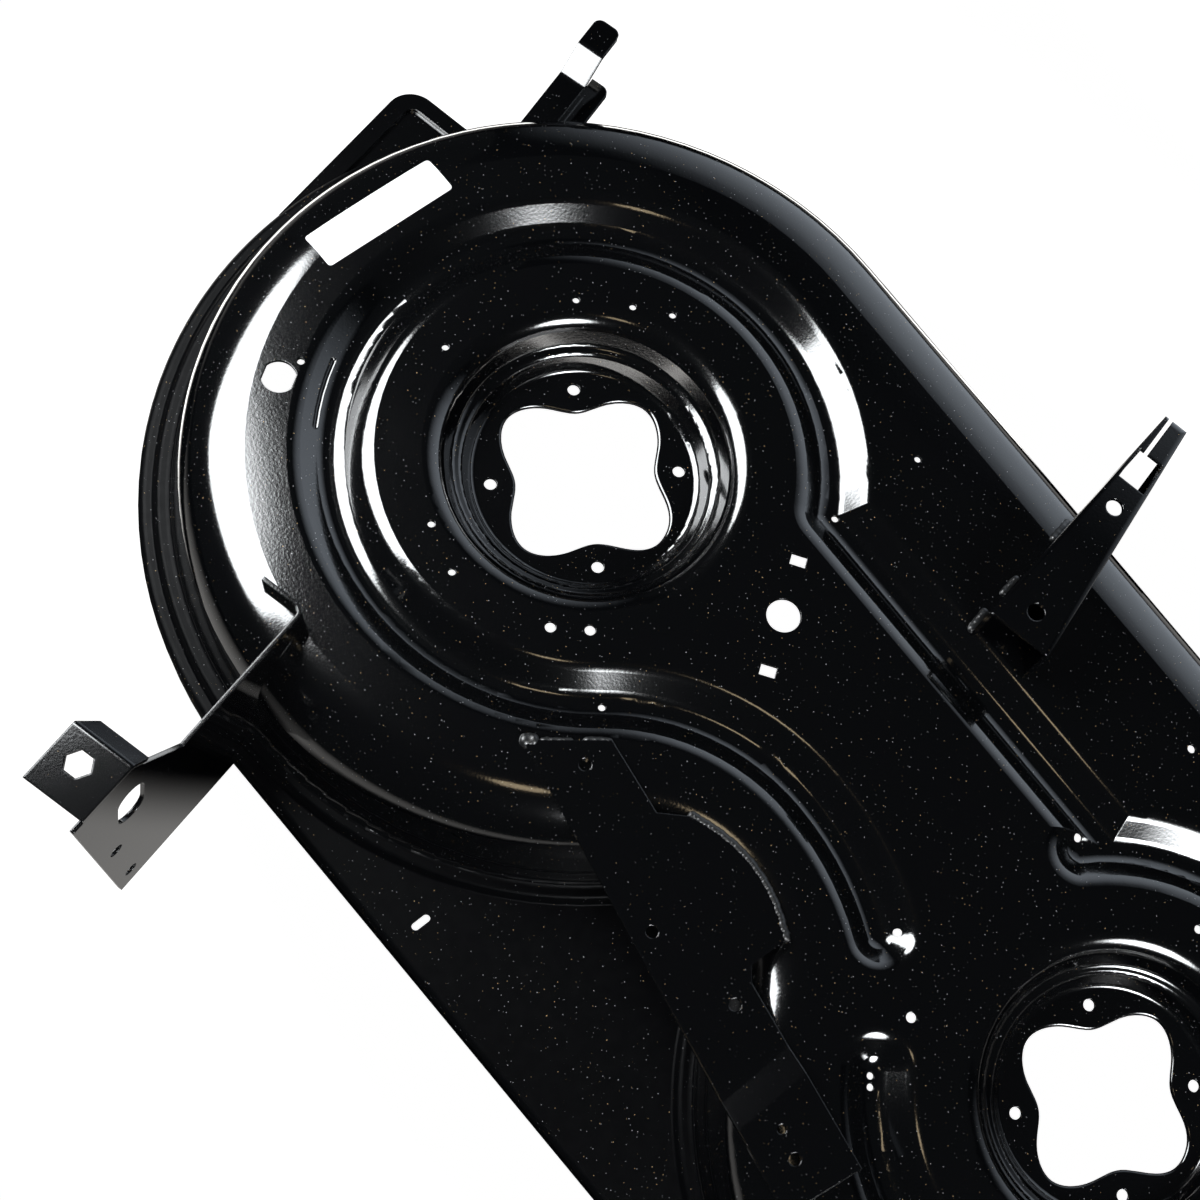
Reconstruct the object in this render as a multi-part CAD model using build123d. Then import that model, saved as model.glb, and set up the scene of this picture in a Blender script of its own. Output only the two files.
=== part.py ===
# Two-blade lawn mower deck: a pressed steel shell with its welded brackets, in millimetres.
# Origin: centre of the left spindle seat, on top of the sheet. +X runs along the spindle line to the
# right spindle, +Y to the front of the deck, +Z up. The brackets are square to the tractor, and the
# spindle line is skewed to it.
import os
from math import asin, atan2, cos, degrees, radians, sin, sqrt, tan

from build123d import *

# Overall layout
spindle_gap = 550.0
skew = 13.0
sheet = 2.7

# Levels, measured from the spindle seats
top_z = 37.0
ledge_z = -45.5
flange_z = -51.5
rim_z = -76.0

# Dome and rim
wall_base_r = 273.5
wall_draft = 11.0
shoulder_r = 46.0
valley_r = 64.5
wall_foot_r = 5.0
ledge_w = 13.5
ledge_slope = 35.0
ledge_edge_r = 3.6
ledge_foot_r = 2.0
rim_w = 9.5
flange_bend_r = 6.0

# Spindle cups
seat_r = 77.0
cup_step_r = 83.5
cup_step_z = 14.0
cup_ledge = 6.0
cup_mouth_r = 99.0
cup_lip_r = 17.0
cup_bend_r = 4.5
star_mean_r = 57.0
star_swell = 9.5
star_lip_r = 1.9
bolt_pcd = 128.6
bolt_d = 8.5

# Pressed grooves: a lip runs out into the flat top at the small angle lip_fade
groove_z = 23.4
groove_floor = 11.3
groove_slope = 38.0
groove_root_r = 12.0
groove_lip_r = 15.0
lip_fade = 4.0
lip_run = 14.0
ring_r = 166.5
straight_y = 108.5
wave_top_x = 268.0
wave_top_y = -33.5
wave_tail_r = 230.0
wave_end_angle = 64.7
right_front_gap = 33.0
right_back_gap = 44.0
crease_reach = 10.4
crease_r = ring_r + crease_reach
crease_z = 28.4
crease_w = 4.8
crease_start = -149.5
crease_sweep = 15.5

# Discharge window in the right end of the wall
window_front_y = 236.0
window_back_y = 28.0
window_top_z = 2.0
window_corner_r = 14.0

# Bridge strap
strap_sheet = 4.0
pad_rise = 6.0
strap_hole_d = 8.0
pad_pilot_d = 6.0

# Front hanger channel, placed in tractor axes
bracket_sheet = 3.0
channel_x = 297.0
channel_back_y = 68.5
channel_top_z = 84.0
channel_back_w = 49.2
channel_taper = 4.45
channel_web_y = 206.0
channel_tongue_y = 232.5
channel_tip_y = 267.0
channel_tip_drop = 24.0
channel_hole_d = 12.0
channel_hole_gap = 96.5
channel_hole_inset = 20.0

# Rear hangers, placed in tractor axes
hanger_half_track = 362.5
hanger_end_y = -399.0
hanger_top_z = 112.0
hanger_arm_z = 60.0
hanger_foot_z = -70.0
hanger_root_y = -203.0
right_root_y = -296.0
right_foot_z = -30.0
hanger_knee_y = -316.0
hanger_foot_w = 33.0
hanger_bend_r = 5.0
hanger_slot_w = 22.0
hanger_slot_h = 40.0
hanger_slot_y = -362.0
hanger_slot_z = 62.0
hanger_pin_d = 10.0
angle_w = 42.0
angle_l = 41.0
angle_end_gap = 8.0
angle_lip = 15.0
angle_lip_slope = 52.0
angle_hex = 15.0

# Corner hook and side plate, placed in tractor axes
hook_x = -186.0
hook_root_y = 198.0
hook_turn = 4.5
hook_w = 20.0
hook_tip_y = 274.0
hook_z = 6.0
hook_rise = 11.0
hook_web = 15.0
hook_ear = 15.0
hook_ear_y = 244.0
plate_edge = 1.0
plate_reach = 118.0
plate_back_y = 36.0
plate_z = -58.0
plate_corner_r = 20.0
plate_border = 12.5
plate_recess = 3.0

# Small holes in the shell: place and diameter
cover_screw_d = 4.8
clip_d = 7.2
guide_d = 6.0
wash_d = 22.5
wash_flats = 20.0
idler_d = 23.5
idler_slot = (11.0, 8.0)
valley_slot = (14.0, 5.5)

left_spindle = Vector(0, 0)
right_spindle = Vector(spindle_gap, 0)
half_gap = spindle_gap / 2
ledge_r = wall_base_r + ledge_w
flange_r = ledge_r + rim_w
plate_x = plate_edge - flange_r
plate_y = flange_r - plate_reach
valley_y = -sqrt((wall_base_r + valley_r) ** 2 - half_gap ** 2)
bore_depth = 60.0


def upright(x, y, angle):
    """Plane through a vertical axis at x, y: across is outwards at the angle, up is +Z."""
    out = Vector(cos(radians(angle)), sin(radians(angle)), 0)
    return Plane(origin=(x, y, 0), x_dir=out, z_dir=out.cross(Vector(0, 0, 1)))


def dome_outline(r, valley):
    """Two round ends, a straight front and a waist at the back."""
    near = r / (r + valley)
    left = Vector(half_gap * near, valley_y * near)
    right = Vector(spindle_gap - half_gap * near, valley_y * near)
    front = Line((spindle_gap, r), (0, r))
    left_end = ThreePointArc((0, r), (-r, 0), left)
    waist = ThreePointArc(left, (half_gap, valley_y + valley), right)
    right_end = ThreePointArc(right, (spindle_gap + r, 0), (spindle_gap, r))
    return make_face(Curve() + [front, left_end, waist, right_end])


def lean_in(inset, draft):
    """How far a drafted wall moves in at its foot when the sheet's other face is drawn."""
    return inset / cos(radians(draft)) - inset * tan(radians(draft))


def dome(inset):
    """Drafted body of the dome up to the flat top, with its large shoulder."""
    lean = lean_in(inset, wall_draft)
    outline = dome_outline(wall_base_r - lean, valley_r + lean)
    body = extrude(Pos(0, 0, ledge_z - inset) * outline, top_z - ledge_z, taper=wall_draft)
    crown = body.faces().sort_by(Axis.Z)[-1]
    return fillet(crown.edges(), shoulder_r - inset)


def ledge(inset):
    """Low step round the foot of the dome."""
    r = ledge_r - lean_in(inset, ledge_slope)
    outline = dome_outline(r, wall_base_r + valley_r - r)
    body = extrude(Pos(0, 0, flange_z - inset) * outline, ledge_z - flange_z, taper=ledge_slope)
    crown = body.faces().sort_by(Axis.Z)[-1]
    return fillet(crown.edges(), ledge_edge_r - inset)


def base(inset, depth):
    """Rim block under the dome: a stadium with the rounded bend of the turned-down edge."""
    stadium = SlotCenterToCenter(spindle_gap, 2 * (flange_r - inset))
    body = extrude(Pos(half_gap, 0, flange_z - inset) * stadium, -depth)
    crown = body.faces().sort_by(Axis.Z)[-1]
    return fillet(crown.edges(), flange_bend_r - inset)


def reach(point):
    """Distance of a point from the line between the two spindles, in plan."""
    x = min(max(point.X, 0), spindle_gap)
    return sqrt((point.X - x) ** 2 + point.Y ** 2)


def foot_edges(body, level, r):
    flat = body.edges().filter_by_position(Axis.Z, level - 0.01, level + 0.01)
    return flat.filter_by(lambda e: reach(e @ 0.5) < r + 0.3)


def pressing(inset, depth):
    """Rim block, ledge and dome in one, with the rounded foot of the wall and of the ledge."""
    body = base(inset, depth) + ledge(inset) + dome(inset)
    body = fillet(foot_edges(body, ledge_z - inset, wall_base_r), wall_foot_r + inset)
    return fillet(foot_edges(body, flange_z - inset, ledge_r), ledge_foot_r + inset)


def lip_drop(radius, slope):
    """How far a lip's corner lies under the flat top, so that the rounded lip ends level with it."""
    return radius * tan(radians((slope - lip_fade) / 2)) * sin(radians(lip_fade))


def groove_profile(inset):
    """Section of the groove, open upwards: rounded floor, sloping walls and rounded lips."""
    half = groove_floor / 2
    corner_z = top_z - lip_drop(groove_lip_r, groove_slope)
    mouth = half + (corner_z - groove_z) / tan(radians(groove_slope))
    far = mouth + lip_run
    far_z = corner_z + lip_run * tan(radians(lip_fade))
    over = top_z + 8
    shape = make_face(Polyline((-half, groove_z), (half, groove_z), (mouth, corner_z), (far, far_z),
                               (far, over), (-far, over), (-far, far_z), (-mouth, corner_z), close=True))
    shape = fillet(shape.vertices().sort_by(Axis.Y)[:2], groove_root_r)
    lips = shape.vertices().filter_by(lambda v: abs(abs(v.X) - mouth) < 0.01)
    shape = fillet(lips, groove_lip_r)
    return offset(shape, inset) if inset else shape


def half_profile(inset):
    return split(groove_profile(inset), Plane.YZ, keep=Keep.TOP)


def groove_arc(inset, x, y, r, start, sweep):
    section = upright(x, y, start) * (Pos(r, 0) * groove_profile(inset))
    return revolve(section, Axis((x, y, 0), (0, 0, 1)), sweep)


def groove_end(inset, x, y):
    return revolve(upright(x, y, 0) * half_profile(inset), Axis((x, y, 0), (0, 0, 1)), 360)


def left_groove(inset):
    """Front straight, ring round the left spindle and the wave towards the right one."""
    corner = degrees(asin(straight_y / ring_r))
    corner_x = ring_r * cos(radians(corner))
    wave_r = (wave_top_x ** 2 + wave_top_y ** 2 - ring_r ** 2) / (2 * (ring_r + wave_top_y))
    wave_y = wave_top_y - wave_r
    stop = degrees(atan2(wave_y, wave_top_x))
    tail_y = wave_top_y - wave_tail_r
    end_x = wave_top_x + wave_tail_r * cos(radians(wave_end_angle))
    end_y = tail_y + wave_tail_r * sin(radians(wave_end_angle))
    run = Plane(origin=(corner_x, straight_y, 0), x_dir=(0, 1, 0), z_dir=(1, 0, 0))
    return [
        extrude(run * groove_profile(inset), spindle_gap - 2 * corner_x),
        groove_end(inset, corner_x, straight_y),
        groove_arc(inset, 0, 0, ring_r, corner, 360 + stop - corner),
        groove_arc(inset, wave_top_x, wave_y, wave_r, 90, 90 + stop),
        groove_arc(inset, wave_top_x, tail_y, wave_tail_r, wave_end_angle, 90 - wave_end_angle),
        groove_end(inset, end_x, end_y),
    ]


def right_groove(inset):
    """Ring round the right spindle, open towards the left one."""
    first = 180 + right_back_gap
    sweep = 360 - right_back_gap - right_front_gap
    cutters = [groove_arc(inset, spindle_gap, 0, ring_r, first, sweep)]
    for angle in (first, first + sweep):
        x = spindle_gap + ring_r * cos(radians(angle))
        y = ring_r * sin(radians(angle))
        cutters.append(groove_end(inset, x, y))
    return cutters


def cup(inset):
    """Stepped bowl that lowers the spindle seat under the flat top."""
    over = top_z + 8
    ledge_out = cup_step_r + cup_ledge
    ledge_up = cup_step_z + 2
    slope = degrees(atan2(top_z - ledge_up, cup_mouth_r - ledge_out))
    corner_z = top_z - lip_drop(cup_lip_r, slope)
    far = cup_mouth_r + lip_run
    far_z = corner_z + lip_run * tan(radians(lip_fade))
    shape = make_face(Polyline((0, 0), (seat_r, 0), (cup_step_r, cup_step_z), (ledge_out, ledge_up),
                               (cup_mouth_r, corner_z), (far, far_z), (far, over), (0, over), close=True))
    bends = shape.vertices().filter_by(lambda v: v.X > seat_r - 1 and v.Y < ledge_up + 1)
    shape = fillet(bends, cup_bend_r)
    shape = fillet(shape.vertices().filter_by(lambda v: abs(v.X - cup_mouth_r) < 0.01), cup_lip_r)
    if inset:
        shape = offset(shape, inset)
        shape = split(shape, Plane.YZ, keep=Keep.TOP)
    return revolve(upright(0, 0, 0) * shape, Axis.Z, 360)


def formed(inset, depth):
    """Everything under one face of the sheet: the dome less its grooves and cups."""
    body = pressing(inset, depth)
    for cutter in left_groove(inset) + right_groove(inset):
        body -= cutter
    body -= cup(inset)
    return body - Pos(spindle_gap, 0, 0) * cup(inset)


def bore(x, y, d, z=top_z):
    """Plain round cutter down through the sheet at one level."""
    return Pos(x, y, z) * Cylinder(d / 2, bore_depth / 2)


def star_opening():
    """Four-lobed clearance hole of a spindle housing, waisted where its bolts pass."""
    points = []
    for step in range(16):
        angle = skew + step * 22.5
        r = star_mean_r + star_swell * cos(radians(4 * (angle - skew)))
        points.append((r * cos(radians(angle)), r * sin(radians(angle))))
    outline = make_face(Spline(*points, periodic=True))
    return Pos(0, 0, -bore_depth / 4) * extrude(outline, bore_depth / 2)


def spindle_cuts():
    cuts = star_opening()
    for turn in range(4):
        spot = PolarLocations(bolt_pcd / 2, 1, skew + 45 + 90 * turn)
        cuts += spot * Cylinder(bolt_d / 2, bore_depth / 2)
    return cuts


def star_lips(body):
    """Upper edges of the two spindle openings, which are rounded over."""
    level = body.edges().filter_by_position(Axis.Z, -0.01, 0.01)
    widest = star_mean_r + star_swell + 1
    return level.filter_by(lambda e: e.length > bolt_pcd and reach(e @ 0.3) < widest)


def crease():
    """Short line pressed into the outer wall of the left ring."""
    section = upright(0, 0, crease_start) * (Pos(crease_r, crease_z) * Circle(crease_w / 2))
    bar = revolve(section, Axis.Z, crease_sweep)
    for angle in (crease_start, crease_start + crease_sweep):
        spot = Pos(crease_r * cos(radians(angle)), crease_r * sin(radians(angle)), crease_z)
        bar += spot * Sphere(crease_w / 2)
    return bar


def small_cuts():
    """Screw, clip and guide holes, the wash-out port, the idler holes and the drain slot."""
    cuts = Part()
    for x, y in ((-92.6, 63.8), (-66.7, 92.0), (-46.5, 110.4), (-115.5, -28.2), (-24.1, -112.1),
                 (9.3, -122.0), (-160.7, -109.6), (133.5, 181.0)):
        cuts += bore(x, y, cover_screw_d)
    for x, y in ((129.6, 111.0), (437.2, -124.3), (431.7, -119.5), (136.0, -100.0)):
        cuts += bore(x, y, cover_screw_d, groove_z)
    for x, y in ((76.1, -95.2), (93.2, -76.1), (419.8, -77.0)):
        cuts += bore(x, y, clip_d)
    for x, y in ((407.6, 198.1), (502.3, 115.8)):
        cuts += bore(x, y, guide_d)
    for x, y in ((372.8, -45.1), (403.1, 96.2)):
        cuts += bore(x, y, guide_d, groove_z)
    port = Circle(wash_d / 2) & Rectangle(wash_flats, wash_d)
    cuts += Pos(-160.2, -127.3, top_z - 10) * extrude(Rot(0, 0, 32) * port, 20)
    cuts += bore(162.7, 32.6, idler_d)
    for x, y in ((139.5, 65.8), (185.5, -0.6)):
        cuts += Pos(x, y, top_z) * Rot(0, 0, 35) * Box(idler_slot[0], idler_slot[1], 20)
    cuts += Pos(165.1, -270.1, flange_z) * Rot(0, 0, 90) * extrude(SlotOverall(*valley_slot), 20, both=True)
    return cuts


def discharge_window():
    """Plain opening through the right end of the wall, open at the rim."""
    low = rim_z - 10
    block = Box(flange_r, window_front_y - window_back_y, window_top_z - low)
    top = block.faces().sort_by(Axis.Z)[-1]
    block = fillet(top.edges().filter_by(Axis.X), window_corner_r)
    middle = (window_front_y + window_back_y) / 2
    return Pos(spindle_gap + 110 + flange_r / 2, middle, (window_top_z + low) / 2) * block


def make_shell(outside):
    body = outside - formed(sheet, flange_z - rim_z + 20)
    body -= spindle_cuts()
    body -= Pos(spindle_gap, 0, 0) * spindle_cuts()
    body = fillet(star_lips(body), star_lip_r)
    body -= crease()
    body -= small_cuts()
    return body - discharge_window()


def make_strap():
    """Flat strap over the valley, scalloped where it is welded to the dome, with a raised pad."""
    fold_x = 382.0
    fold_run = 20.0
    end_x = 472.0
    low = Line((125.0, -157.0), (460.5, -223.0))
    end = Line((460.5, -223.0), (470.4, -166.8))
    back = Polyline((470.4, -166.8), (337.0, -144.0), (328.0, -137.0), (329.3, -109.6))
    scallop = ThreePointArc((329.3, -109.6), (276.0, -94.8), (228.7, -105.7))
    lead = Polyline((228.7, -105.7), (213.9, -120.5), (159.6, -112.6), (125.0, -157.0))
    plan = extrude(make_face(Curve() + [low, end, back, scallop, lead]), 200, both=True)
    up = pad_rise
    side = make_face(Polyline((0, top_z), (fold_x, top_z), (fold_x + fold_run, top_z + up),
                              (end_x, top_z + up), (end_x, top_z + up + strap_sheet),
                              (fold_x + fold_run, top_z + up + strap_sheet),
                              (fold_x, top_z + strap_sheet), (0, top_z + strap_sheet), close=True))
    body = plan & extrude(Plane.XZ * side, 300, both=True)
    for x, y in ((161.5, -136.5), (271.4, -172.1), (340.4, -161.1), (438.0, -195.6)):
        body -= bore(x, y, strap_hole_d)
    return body - bore(418.6, -189.9, pad_pilot_d)


def make_channel(outside):
    """Tapered channel with its web on top, a window, a tongue and a long open end over the front."""
    lean = tan(radians(channel_taper))
    back = channel_back_w / 2
    tip = back - lean * (channel_tip_y - channel_back_y)
    floor = 1.0
    run = channel_tip_y - channel_back_y

    def wedge(inset, height):
        outline = make_face(Polyline((-back + inset, 0), (back - inset, 0), (tip - inset, run),
                                     (-tip + inset, run), close=True))
        return extrude(Pos(channel_x, channel_back_y, floor) * outline, height - floor)

    solid = wedge(0, channel_top_z)
    crest = solid.edges().filter_by_position(Axis.Z, channel_top_z - 0.1, channel_top_z + 0.1)
    solid = fillet([e for e in crest if e.length > run - 1], bracket_sheet + 1)
    body = solid - wedge(bracket_sheet, channel_top_z - bracket_sheet)
    low = channel_top_z - channel_tip_drop
    side = make_face(Polyline((channel_back_y, floor), (channel_back_y, channel_top_z),
                              (channel_tip_y, channel_top_z), (channel_tip_y, low),
                              (channel_tip_y - 14, low - 6), (channel_web_y + 4, floor), close=True))
    side = fillet(side.vertices().filter_by(lambda v: v.X > channel_tip_y - 1), 6)
    body &= extrude(Plane.YZ * side, 600, both=True)
    wide = channel_back_w
    gap = channel_tongue_y - channel_web_y
    inner = 2 * (back - lean * (channel_web_y - channel_back_y)) - 2 * bracket_sheet
    body -= Pos(channel_x, channel_web_y + gap / 2, channel_top_z) * Box(inner - 1, gap, 12)
    slit = 3.0
    slit_run = channel_tip_y - channel_tongue_y + 10
    slit_x = channel_x - tip + bracket_sheet + slit / 2
    body -= Pos(slit_x, channel_tongue_y + slit_run / 2, channel_top_z) * Box(slit, slit_run, 12)
    for y in (channel_back_y + channel_hole_inset, channel_back_y + channel_hole_inset + channel_hole_gap):
        body -= bore(channel_x, y, channel_hole_d, channel_top_z)
    return Rot(0, 0, skew) * body - outside


def make_arm(side, outside):
    """Upright plate with a tall outer end: the left one reaches the rim, the right one stands on the dome."""
    face_x = channel_x + side * hanger_half_track
    root = hanger_root_y if side < 0 else right_root_y
    foot = hanger_foot_z if side < 0 else right_foot_z
    shelf_y = hanger_end_y + angle_end_gap + angle_l
    outline = make_face(Polyline((root, foot), (hanger_end_y, foot), (hanger_end_y, hanger_top_z),
                                 (shelf_y, hanger_top_z), (hanger_knee_y, hanger_arm_z), (root, hanger_arm_z),
                                 close=True))
    slot = Pos(hanger_slot_y, hanger_slot_z) * Rot(0, 0, 78) * SlotOverall(hanger_slot_h, hanger_slot_w)
    outline -= slot
    for z in (12.0, -50.0) if side < 0 else (12.0,):
        outline -= Pos(hanger_end_y + 13, z) * Circle(hanger_pin_d / 2)
    body = Pos(face_x, 0, 0) * extrude(Plane.YZ * outline, side * bracket_sheet)
    foot_plate = Box(hanger_foot_w, bracket_sheet, hanger_arm_z - foot)
    foot_x = face_x + side * hanger_foot_w / 2
    body += Pos(foot_x, root - bracket_sheet / 2, (hanger_arm_z + foot) / 2) * foot_plate
    upright_edges = body.edges().filter_by(Axis.Z)
    outer = upright_edges.sort_by_distance((face_x, root, 0))[0]
    body = fillet(outer, hanger_bend_r + bracket_sheet)
    inner = body.edges().filter_by(Axis.Z).sort_by_distance((face_x + side * bracket_sheet, root - bracket_sheet, 0))[0]
    body = fillet(inner, hanger_bend_r)
    return Rot(0, 0, skew) * body - outside


def make_angle(side):
    """Small folded angle on the arm: a level ear with a hex hole and a sloping lip."""
    face_x = channel_x + side * hanger_half_track
    t = bracket_sheet
    y0 = hanger_end_y + angle_end_gap
    bend = t * tan(radians(angle_lip_slope / 2))
    out = angle_lip * cos(radians(angle_lip_slope))
    down = angle_lip * sin(radians(angle_lip_slope))
    tip = (angle_l + out + t * sin(radians(angle_lip_slope)), t * cos(radians(angle_lip_slope)) - down)
    section = make_face(Polyline((0, 0), (angle_l, 0), (angle_l + out, -down), tip, (angle_l + bend, t), (0, t),
                                 close=True))
    outer = section.vertices().filter_by(lambda v: abs(v.X - angle_l - bend) < 0.01)
    section = fillet(outer, t + 1)
    body = extrude(Plane.YZ * section, side * angle_w)
    trim = make_face(Polyline((side * angle_w, angle_l + bend), (side * (angle_w - 13), angle_l + 20),
                              (side * (angle_w + 20), angle_l + 20), (side * (angle_w + 20), angle_l + bend),
                              close=True))
    body -= extrude(trim, 40, both=True)
    hex_hole = extrude(RegularPolygon(angle_hex / 2, 6, major_radius=False), 20, both=True)
    body -= Pos(side * 24, 24.5, 0) * hex_hole
    return Rot(0, 0, skew) * (Pos(face_x, y0, hanger_top_z) * body)


def make_hook(outside):
    """Folded strip that reaches forward from the left front wall, with a lower side ear."""
    start = -70.0
    knee = 227.0 - hook_root_y
    step = 22.0
    tip_y = hook_tip_y - hook_root_y
    ear_y = hook_ear_y - hook_root_y
    t = bracket_sheet
    side = make_face(Polyline((start, 0), (knee, 0), (knee + step, hook_rise), (tip_y, hook_rise),
                              (tip_y, hook_rise + t), (knee + step, hook_rise + t), (knee, t), (start, t),
                              close=True))
    bends = side.vertices().filter_by(lambda v: knee - 1 < v.X < knee + step + 1)
    side = fillet(bends, 8)
    strip = extrude(Plane.YZ * side, hook_w / 2, both=True)
    strip = fillet(strip.edges().filter_by(Axis.Z).sort_by(Axis.Y)[-2:], 6)
    edge_x = hook_w / 2
    strip += Pos(edge_x - t / 2, (start + knee) / 2, t - hook_web / 2) * Box(t, knee - start, hook_web)
    ear = Box(hook_ear, ear_y - start, t)
    corner = ear.edges().filter_by(Axis.Z).sort_by(lambda e: (e @ 0.5).X + (e @ 0.5).Y)[-1]
    ear = fillet(corner, 6)
    strip += Pos(edge_x - t + hook_ear / 2, (start + ear_y) / 2, 1.5 * t - hook_web) * ear
    turned = Pos(hook_x, hook_root_y, hook_z) * Rot(0, 0, hook_turn) * strip
    return Rot(0, 0, skew) * turned - outside


def make_side_plate(outside):
    """Flat corner plate on the left rim, pressed down inside a raised border."""
    t = bracket_sheet
    long = plate_y - plate_back_y
    wide = 90.0

    def blank(inset, low, high):
        size = (wide - inset, long - inset)
        sketch = Pos(plate_x + inset + size[0] / 2, plate_y - inset - size[1] / 2) * Rectangle(*size)
        corner = sketch.vertices().sort_by(lambda v: v.Y - v.X)[-1]
        sketch = fillet(corner, max(plate_corner_r - inset, 2))
        return extrude(Pos(0, 0, low) * sketch, high - low)

    body = blank(0, plate_z - t - plate_recess, plate_z)
    body -= blank(plate_border, plate_z - plate_recess, plate_z + 5)
    under = blank(-5, plate_z - t - plate_recess - 5, plate_z - t)
    under -= blank(plate_border - t, plate_z - t - plate_recess - 9, plate_z)
    body -= under
    return Rot(0, 0, skew) * body - outside


outside = formed(0, flange_z - rim_z)
pieces = {
    "deck_shell": make_shell(outside),
    "bridge_strap": make_strap(),
    "front_hanger_channel": make_channel(outside),
    "left_hanger_arm": make_arm(-1, outside),
    "left_hanger_angle": make_angle(-1),
    "right_hanger_arm": make_arm(1, outside),
    "right_hanger_angle": make_angle(1),
    "corner_hook_bracket": make_hook(outside),
    "side_plate": make_side_plate(outside),
}

os.makedirs("parts", exist_ok=True)
for name, piece in pieces.items():
    export_step(piece, "parts/" + name + ".step")
    print(name, len(piece.solids()), piece.is_valid, round(piece.volume / 1000, 1), "cm3")
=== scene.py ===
# Two-blade lawn mower deck in glossy black paint, on a pale studio floor.
from math import atan2, radians, sin

import bpy
from mathutils import Matrix, Vector


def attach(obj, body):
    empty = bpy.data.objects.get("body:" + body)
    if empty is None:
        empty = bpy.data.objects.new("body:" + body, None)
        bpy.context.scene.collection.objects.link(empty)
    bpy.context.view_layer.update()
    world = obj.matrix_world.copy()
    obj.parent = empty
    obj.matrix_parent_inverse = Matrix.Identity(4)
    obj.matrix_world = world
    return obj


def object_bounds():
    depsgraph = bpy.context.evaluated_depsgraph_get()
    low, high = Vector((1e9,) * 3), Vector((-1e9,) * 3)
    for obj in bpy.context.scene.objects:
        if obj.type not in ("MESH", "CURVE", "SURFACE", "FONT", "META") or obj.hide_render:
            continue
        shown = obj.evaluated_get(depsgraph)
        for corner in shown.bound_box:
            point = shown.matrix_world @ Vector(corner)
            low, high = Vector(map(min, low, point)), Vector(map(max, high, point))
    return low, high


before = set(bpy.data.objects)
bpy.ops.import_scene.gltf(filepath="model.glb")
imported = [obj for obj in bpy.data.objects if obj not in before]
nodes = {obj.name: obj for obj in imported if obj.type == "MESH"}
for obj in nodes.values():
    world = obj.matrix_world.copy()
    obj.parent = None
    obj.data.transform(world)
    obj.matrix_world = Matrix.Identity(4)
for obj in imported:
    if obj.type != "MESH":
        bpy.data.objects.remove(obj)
cad_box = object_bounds()
scene = bpy.context.scene


class Value:
    """A shader socket that takes part in plain arithmetic."""

    def __init__(self, finish, socket):
        self.finish = finish
        self.socket = socket

    def maths(self, operation, second):
        return self.finish.add("ShaderNodeMath", {"operation": operation}, {0: self, 1: second})

    def __add__(self, other):
        return self.maths("ADD", other)

    def __mul__(self, other):
        return self.maths("MULTIPLY", other)

    def __pow__(self, other):
        return self.maths("POWER", other)

    def __gt__(self, other):
        return self.maths("GREATER_THAN", other)

    def __lt__(self, other):
        return self.maths("LESS_THAN", other)

    def size(self):
        return self.maths("ABSOLUTE", 0.0)


class Finish:
    """A material whose nodes are added one at a time."""

    def __init__(self, name):
        self.material = bpy.data.materials.new(name)
        self.material.use_nodes = True
        self.tree = self.material.node_tree
        self.surface = self.tree.nodes["Principled BSDF"]

    def feed(self, node, sockets):
        for key, value in sockets.items():
            if isinstance(value, Value):
                self.tree.links.new(value.socket, node.inputs[key])
            else:
                node.inputs[key].default_value = value

    def add(self, kind, settings, sockets, *outputs):
        node = self.tree.nodes.new(kind)
        for key, value in settings.items():
            setattr(node, key, value)
        self.feed(node, sockets)
        values = [Value(self, node.outputs[key]) for key in outputs or (0,)]
        return values if len(values) > 1 else values[0]

    def noise(self, place, scale, detail, roughness):
        sockets = {"Vector": place, "Scale": scale, "Detail": detail, "Roughness": roughness}
        return self.add("ShaderNodeTexNoise", {}, sockets)

    def ramp(self, value, dark_at, bright_at):
        sockets = {"Value": value, "From Min": dark_at, "From Max": bright_at}
        return self.add("ShaderNodeMapRange", {"interpolation_type": "SMOOTHSTEP"}, sockets)

    def mix(self, share, first, second):
        return self.add("ShaderNodeMix", {"data_type": "RGBA"}, {0: share, 6: first, 7: second}, 2)

    def coat(self, sockets):
        self.feed(self.surface, sockets)

    def cover(self, piece):
        piece.data.materials.clear()
        piece.data.materials.append(self.material)


# Stage: a pale floor under the rim, a large soft light high on the left and a stronger one far off on
# the right, a pale board in front, a small warm lamp by the camera, lit floor round the deck and a dark
# room.
floor_z = cad_box[0][2]
floor_drop = 0.0005
no_light = (0, 0, 0, 1)
cool_white = (0.95, 0.98, 1.0, 1)
sky_white = (0.80, 0.89, 1.0, 1)
paper_white = (1.0, 0.98, 0.95, 1)
lamp_yellow = (1.0, 0.80, 0.52, 1)
bpy.ops.object.select_all(action="DESELECT")
bpy.ops.mesh.primitive_plane_add(size=14, location=(0.3, 0, floor_z - floor_drop))
floor = bpy.context.object
floor.name = "studio_floor"
floor_finish = Finish("pale_floor")
floor_finish.coat({"Base Color": (0.80, 0.80, 0.80, 1), "Roughness": 0.9, "Specular IOR Level": 0.0,
                   "Emission Color": (1.0, 1.0, 1.0, 1), "Emission Strength": 1.0})
floor_finish.cover(floor)
floor.visible_glossy = False


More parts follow.
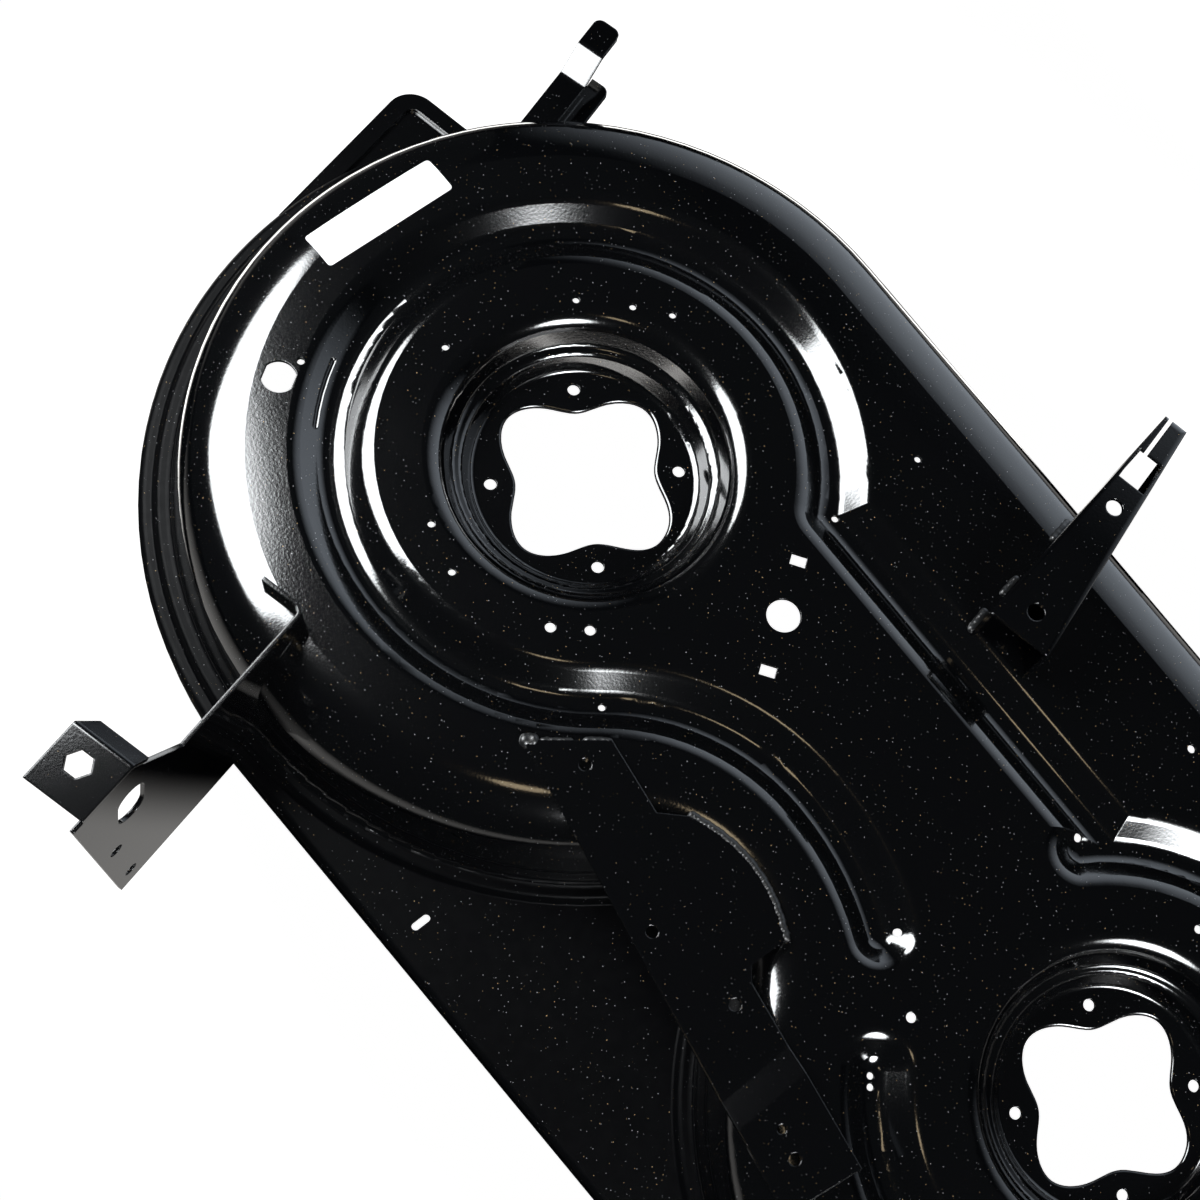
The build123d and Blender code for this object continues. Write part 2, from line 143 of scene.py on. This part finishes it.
def add_panel(name, middle, facing, width, height, radiance, colour, fade, turn=0.0, power=2, hole=0.0):
    """Soft light turned towards a point: an oval, or squarer with a higher power, dark inside its hole."""
    half = 0.5
    hole_step = 0.001
    hole_fade = 1.12
    bpy.ops.object.select_all(action="DESELECT")
    bpy.ops.mesh.primitive_plane_add(size=1, location=middle)
    panel = bpy.context.object
    panel.name = name
    panel.scale = (width, height, 1)
    aim = (Vector(middle) - Vector(facing)).to_track_quat("Z", "Y").to_matrix()
    panel.rotation_euler = (aim @ Matrix.Rotation(radians(turn), 3, "Z")).to_euler()
    panel.visible_camera = False
    glow = Finish(name)
    place = glow.add("ShaderNodeTexCoord", {}, {}, "Object")
    along, across = glow.add("ShaderNodeSeparateXYZ", {}, {0: place}, 0, 1)
    reach = (along.size() ** power + across.size() ** power) ** (1 / power)
    inside = glow.ramp(reach, half, half * (1 - fade))
    outside_hole = glow.ramp(reach, half * hole - hole_step, half * hole * hole_fade)
    glow.coat({"Base Color": no_light, "Roughness": 1.0, "Specular IOR Level": 0.0,
               "Emission Color": glow.mix(inside * outside_hole, no_light, colour),
               "Emission Strength": radiance})
    glow.cover(panel)


eye = (0.33177, -0.39693, 1.26144)
deck_middle = (0.2, 0.0, 0.0)
far_below = -9.0
add_panel("left_softbox", middle=(-0.652, -0.385, 0.745), facing=(0.0, -0.3, 0.0), width=0.97, height=0.80,
          radiance=11.0, colour=cool_white, fade=0.13, turn=-29.4, power=4)
add_panel("right_softbox", middle=(1.54, -0.56, 1.15), facing=(0.0, 0.0, 0.0), width=1.2, height=0.9,
          radiance=40.0, colour=cool_white, fade=0.9)
add_panel("front_board", middle=(0.10, 0.95, 0.0), facing=deck_middle, width=2.8, height=3.1,
          radiance=0.85, colour=sky_white, fade=0.85)
add_panel("camera_lamp", middle=eye, facing=deck_middle, width=0.19, height=0.19,
          radiance=2.4, colour=lamp_yellow, fade=0.1)
add_panel("floor_by_rim", middle=(-0.05, 0.06, floor_z + 0.001), facing=(-0.05, 0.06, far_below), width=0.70,
          height=0.70, radiance=3.2, colour=paper_white, fade=0.1, hole=0.8)
add_panel("floor_around", middle=(0.275, 0.0, floor_z), facing=(0.275, 0.0, far_below), width=1.7,
          height=1.2, radiance=0.3, colour=paper_white, fade=0.3, hole=0.60)

world = bpy.data.worlds.new("dark_room")
world.use_nodes = True
room = world.node_tree.nodes["Background"]
room.inputs["Color"].default_value = (0.9, 0.95, 1.0, 1)
room.inputs["Strength"].default_value = 0.012
scene.world = world
scene.view_settings.view_transform = "Standard"

lens = bpy.data.cameras.new("view")
lens.sensor_width = 36
lens.lens = 58.584
lens.shift_x = -0.217
lens.shift_y = 0.1753
camera = bpy.data.objects.new("view", lens)
camera.location = eye
camera.rotation_euler = (radians(12.5488), radians(-12.2308), radians(48.9851))
scene.collection.objects.link(camera)
scene.camera = camera

# Pressed shell: one sheet of steel drawn in a press, with grooves, stepped spindle cups and a
# turned-down rim, powder coated black. The coat has a fine orange peel and small pale flecks, and it
# is thin and dull along the rim.
paint_black = (0.0012, 0.0013, 0.0016, 1)
pale_fleck = (0.22, 0.22, 0.23, 1)
warm_fleck = (0.27, 0.19, 0.10, 1)
pale_share = 0.72
grain_turn = (0.5, 0.35, 0.2)
peel_scale = 560.0
swell_scale = 60.0
swell_share = 0.7
fleck_scale = 520.0
haze_scale = 9.0
haze_roughness = 0.06
least_roughness = 0.08
dull_roughness = 0.4


def black_paint(name, peel_depth, edge_r, fleck_reach, gloss):
    """Black powder coat: orange peel, rounded paint edges and small pale and warm flecks in the base colour.
    """
    finish = Finish(name)
    place = finish.add("ShaderNodeTexCoord", {}, {}, "Object")
    turned = finish.add("ShaderNodeMapping", {}, {"Vector": place, "Rotation": grain_turn})
    peel = finish.noise(turned, peel_scale, 2.0, 0.5)
    swell = finish.noise(turned, swell_scale, 1.0, 0.4)
    rounded = finish.add("ShaderNodeBevel", {"samples": 6}, {"Radius": edge_r})
    relief = finish.add("ShaderNodeBump", {}, {"Strength": 1.0, "Distance": peel_depth,
                                               "Height": peel + swell * swell_share, "Normal": rounded})
    specks = {"Vector": turned, "Scale": fleck_scale}
    reach, chance = finish.add("ShaderNodeTexVoronoi", {}, specks, "Distance", "Color")
    warm, size = finish.add("ShaderNodeSeparateColor", {}, {0: chance}, 1, 2)
    fleck = reach < size * size * size * fleck_reach
    fleck_colour = finish.mix(warm > pale_share, pale_fleck, warm_fleck)
    haze = finish.noise(place, haze_scale, 3.0, 0.6)
    finish.coat({"Base Color": finish.mix(fleck, paint_black, fleck_colour),
                 "Roughness": haze * haze_roughness + (least_roughness + dull_roughness * (1 - gloss)),
                 "Specular IOR Level": 1.0, "Normal": relief, "Coat Weight": gloss, "Coat Roughness": 0.05})
    return finish


shell = nodes["deck_shell"]
rim_top = -0.0445
rim_streak_scale = 130.0
rim_streak_roughness = 0.2
rim_least_roughness = 0.3
rim_shine = 0.06
shell_paint = black_paint("shell_black_paint", peel_depth=0.00004, edge_r=0.0008, fleck_reach=0.19, gloss=1.0)
shell_place = shell_paint.add("ShaderNodeTexCoord", {}, {}, "Object")
shell_height = shell_paint.add("ShaderNodeSeparateXYZ", {}, {0: shell_place}, 2)
rim_streak = shell_paint.noise(shell_place, rim_streak_scale, 3.0, 0.5)
rim_roughness = rim_streak * rim_streak_roughness + rim_least_roughness
flecked = Value(shell_paint, shell_paint.surface.inputs["Base Color"].links[0].from_socket)
dull_rim = shell_paint.add("ShaderNodeBsdfPrincipled", {}, {"Base Color": flecked, "Roughness": rim_roughness,
                                                            "Specular IOR Level": rim_shine})
glossy_top = Value(shell_paint, shell_paint.surface.outputs["BSDF"])
both = shell_paint.add("ShaderNodeMixShader", {}, {0: shell_height < rim_top, 1: glossy_top, 2: dull_rim})
shell_paint.feed(shell_paint.tree.nodes["Material Output"], {"Surface": both})
shell_paint.cover(shell)

# Blank sticker: a plain white vinyl patch with rounded corners, stuck on the shoulder of the shell
# above the left spindle. It follows the sheet.
sticker_width = 0.027
sticker_length = 0.1015
corner_r = 0.0024
corner_slack = 0.0001
film_thickness = 0.00022
clean_white = (0.74, 0.74, 0.74, 1)
worn_white = (0.66, 0.65, 0.63, 1)
grime_scale = 55.0
grime_share = 0.5
grime_roughness = 0.2
vinyl_roughness = 0.3
bpy.ops.object.select_all(action="DESELECT")
bpy.ops.mesh.primitive_grid_add(x_subdivisions=9, y_subdivisions=25, size=1, location=(-0.2165, -0.003, 0.06))
sticker = bpy.context.object
sticker.name = "blank_sticker"
bpy.ops.object.mode_set(mode="EDIT")
bpy.ops.transform.resize(value=(sticker_width, sticker_length, 1.0))
bpy.ops.mesh.select_all(action="DESELECT")
bpy.ops.object.mode_set(mode="OBJECT")
for point in sticker.data.vertices:
    at_side = abs(point.co.x) > sticker_width / 2 - corner_slack
    at_end = abs(point.co.y) > sticker_length / 2 - corner_slack
    point.select = at_side and at_end
bpy.ops.object.mode_set(mode="EDIT")
bpy.ops.mesh.select_mode(type="VERT")
bpy.ops.mesh.bevel(affect="VERTICES", offset=corner_r, segments=4)
bpy.ops.object.mode_set(mode="OBJECT")
bpy.ops.object.transform_apply(location=True, rotation=True, scale=True)
lay = sticker.modifiers.new("lay", "SHRINKWRAP")
lay.target = shell
lay.wrap_method = "PROJECT"
lay.use_project_z = True
lay.use_negative_direction = True
lay.use_positive_direction = False
bpy.ops.object.modifier_apply(modifier="lay")
film = sticker.modifiers.new("film", "SOLIDIFY")
film.thickness = film_thickness
film.offset = 1.0
bpy.ops.object.modifier_apply(modifier="film")
vinyl = Finish("white_vinyl")
vinyl_place = vinyl.add("ShaderNodeTexCoord", {}, {}, "Object")
vinyl_grime = vinyl.noise(vinyl_place, grime_scale, 4.0, 0.6)
vinyl.coat({"Base Color": vinyl.mix(vinyl_grime * grime_share, clean_white, worn_white),
            "Roughness": vinyl_grime * grime_roughness + vinyl_roughness})
vinyl.cover(sticker)
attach(sticker, "root")

# Bridge strap: flat steel over the valley between the two lobes, with a raised pad at its right end.
# A long bead holds its scalloped edge to the dome and short ones its left end.
bracket_paint = black_paint("bracket_black_paint", peel_depth=0.00003, edge_r=0.0014, fleck_reach=0.15,
                            gloss=1.0)
bracket_paint.cover(nodes["bridge_strap"])
weld_paint = black_paint("weld_black_paint", peel_depth=0.00006, edge_r=0.0004, fleck_reach=0.06, gloss=0.25)
drop_overlap = 2.6
melt_grain = 0.0007
quick_ripple = 0.08
slow_ripple = 0.06


def weld_bead(name, route, width, height, pitch):
    """Row of overlapping flattened drops along a route, melted into one rippled bead."""
    bpy.ops.object.select_all(action="DESELECT")
    drops = []
    walked = 0.0
    for first, last in zip(route, route[1:]):
        first = Vector(first)
        step = Vector(last) - first
        while walked <= step.length:
            spot = first + step * (walked / step.length)
            count = len(drops)
            swell = 1.0 + quick_ripple * sin(count * 2.4) + slow_ripple * sin(count * 0.9)
            bpy.ops.mesh.primitive_uv_sphere_add(segments=14, ring_count=8, radius=0.5, location=spot,
                                                 rotation=(0, 0, atan2(step.y, step.x)))
            bpy.context.object.scale = (pitch * drop_overlap, width * swell, height * (2.0 - swell))
            drops.append(bpy.context.object)
            walked += pitch
        walked -= step.length
    for drop in drops:
        drop.select_set(True)
    bpy.ops.object.join()
    bead = bpy.context.object
    bead.name = name
    bpy.ops.object.transform_apply(location=True, rotation=True, scale=True)
    melt = bead.modifiers.new("melt", "REMESH")
    melt.mode = "VOXEL"
    melt.voxel_size = melt_grain
    bpy.ops.object.modifier_apply(modifier="melt")
    relax = bead.modifiers.new("relax", "SMOOTH")
    relax.factor = 0.5
    relax.iterations = 2
    bpy.ops.object.modifier_apply(modifier="relax")
    bpy.ops.object.shade_smooth()
    weld_paint.cover(bead)
    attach(bead, "root")


strap_bead_z = 0.0376
weld_bead("strap_arc_weld", [(0.2287, -0.1040, strap_bead_z), (0.2385, -0.1006, strap_bead_z),
                             (0.2492, -0.0973, strap_bead_z), (0.2625, -0.0947, strap_bead_z),
                             (0.2762, -0.0938, strap_bead_z), (0.2905, -0.0950, strap_bead_z),
                             (0.3045, -0.0982, strap_bead_z), (0.3175, -0.1030, strap_bead_z),
                             (0.3292, -0.1086, strap_bead_z)], width=0.0074, height=0.0078, pitch=0.0014)
weld_bead("strap_left_weld", [(0.1252, -0.1560, 0.0385), (0.1290, -0.1512, 0.0385)],
          width=0.0095, height=0.0075, pitch=0.0028)
weld_bead("strap_left_tack", [(0.1330, -0.1465, 0.0380), (0.1440, -0.1325, 0.0380)],
          width=0.0050, height=0.0044, pitch=0.0026)
weld_bead("strap_left_tail", [(0.1500, -0.1248, 0.0382), (0.1588, -0.1140, 0.0382)],
          width=0.0060, height=0.0055, pitch=0.0026)

# Front hanger channel: folded sheet with its web on top, tapered to the front, welded to the dome by
# beads along its left flange.
bracket_paint.cover(nodes["front_hanger_channel"])
weld_bead("channel_rear_weld", [(0.2482, 0.1300, 0.0378), (0.2442, 0.1470, 0.0378)],
          width=0.0064, height=0.0058, pitch=0.0025)
weld_bead("channel_middle_weld", [(0.2424, 0.1660, 0.0376), (0.2404, 0.1800, 0.0376)],
          width=0.0058, height=0.0050, pitch=0.0030)
weld_bead("channel_front_weld", [(0.2352, 0.2210, 0.0372), (0.2330, 0.2320, 0.0350),
                                 (0.2318, 0.2400, 0.0312)], width=0.0066, height=0.0060, pitch=0.0024)

# Rear hangers: upright plates with a tall outer end, each with a small folded angle on top, welded to
# the rear of the dome at the root.
for name in ("left_hanger_arm", "left_hanger_angle", "right_hanger_arm", "right_hanger_angle"):
    bracket_paint.cover(nodes[name])
weld_bead("left_hanger_upper_weld", [(-0.0140, -0.2360, 0.0200), (-0.0160, -0.2350, 0.0130)],
          width=0.0080, height=0.0060, pitch=0.0024)
weld_bead("left_hanger_lower_weld", [(-0.0175, -0.2342, 0.0060), (-0.0193, -0.2335, 0.0000)],
          width=0.0080, height=0.0060, pitch=0.0024)

# Corner hook: folded strip that reaches forward from the left front wall, in the same paint as the
# other brackets.
bracket_paint.cover(nodes["corner_hook_bracket"])

# Side plate: flat corner plate on the left rim, with a raised border, in the same paint as the
# brackets.
bracket_paint.cover(nodes["side_plate"])
